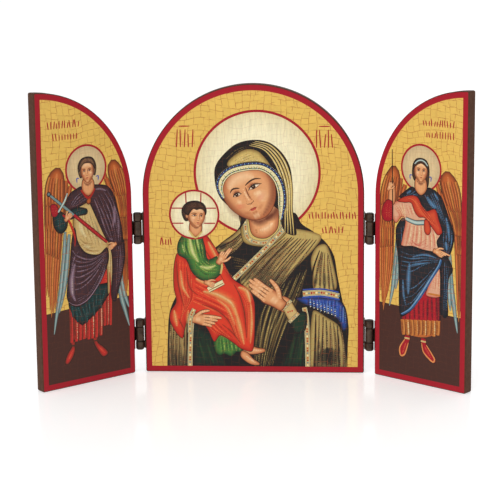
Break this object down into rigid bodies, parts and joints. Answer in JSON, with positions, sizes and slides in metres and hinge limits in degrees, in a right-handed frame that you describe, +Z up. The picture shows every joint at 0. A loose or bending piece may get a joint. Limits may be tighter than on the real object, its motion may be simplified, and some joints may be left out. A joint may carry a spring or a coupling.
{
  "type": "triptych altarpiece",
  "caption": "Small standing triptych icon: an arched painted centre panel with a half-arch painted wing hinged to each side.",
  "frame": {"origin": "middle of the centre panel's underside", "axes": "+X along the centre panel's width, to the right seen from the front; +Y from front to back; +Z up"},
  "size_m": [0.2867, 0.0598, 0.199],
  "materials": {
    "panel_paint": "painted gold-ground picture under satin varnish, crackled, with a red border and brown edges",
    "wing_paint": "painted gold and brown picture under satin varnish, crackled, with a red border and brown edges",
    "hinge_bronze": "dark antique bronze, satin, rubbed on the edges",
    "hinge_screw": "dark antique bronze, satin"
  },
  "bodies": {
    "centre": {"centre_panel": "panel_paint", "left_upper_hinge_pin": "hinge_bronze", "left_upper_hinge_panel_leaf": "hinge_bronze", "left_upper_hinge_panel_screw_top": "hinge_screw", "left_upper_hinge_panel_screw_bottom": "hinge_screw", "left_lower_hinge_pin": "hinge_bronze", "left_lower_hinge_panel_leaf": "hinge_bronze", "left_lower_hinge_panel_screw_top": "hinge_screw", "left_lower_hinge_panel_screw_bottom": "hinge_screw", "right_upper_hinge_pin": "hinge_bronze", "right_upper_hinge_panel_leaf": "hinge_bronze", "right_upper_hinge_panel_screw_top": "hinge_screw", "right_upper_hinge_panel_screw_bottom": "hinge_screw", "right_lower_hinge_pin": "hinge_bronze", "right_lower_hinge_panel_leaf": "hinge_bronze", "right_lower_hinge_panel_screw_top": "hinge_screw", "right_lower_hinge_panel_screw_bottom": "hinge_screw"},
    "left_wing": {"left_wing": "wing_paint", "left_upper_hinge_wing_leaf": "hinge_bronze", "left_upper_hinge_wing_screw_top": "hinge_screw", "left_upper_hinge_wing_screw_bottom": "hinge_screw", "left_lower_hinge_wing_leaf": "hinge_bronze", "left_lower_hinge_wing_screw_top": "hinge_screw", "left_lower_hinge_wing_screw_bottom": "hinge_screw"},
    "right_wing": {"right_wing": "wing_paint", "right_upper_hinge_wing_leaf": "hinge_bronze", "right_upper_hinge_wing_screw_top": "hinge_screw", "right_upper_hinge_wing_screw_bottom": "hinge_screw", "right_lower_hinge_wing_leaf": "hinge_bronze", "right_lower_hinge_wing_screw_top": "hinge_screw", "right_lower_hinge_wing_screw_bottom": "hinge_screw"}
  },
  "joints": [
    {"name": "left_wing_hinge", "type": "hinge", "parent": "centre", "child": "left_wing", "pos_m": [-0.07875, -0.0044, 0.064], "axis": [0, 0, 1], "range_deg": [-77, 138]},
    {"name": "right_wing_hinge", "type": "hinge", "parent": "centre", "child": "right_wing", "pos_m": [0.07875, -0.0044, 0.064], "axis": [0, 0, -1], "range_deg": [-73, 142]}
  ]
}
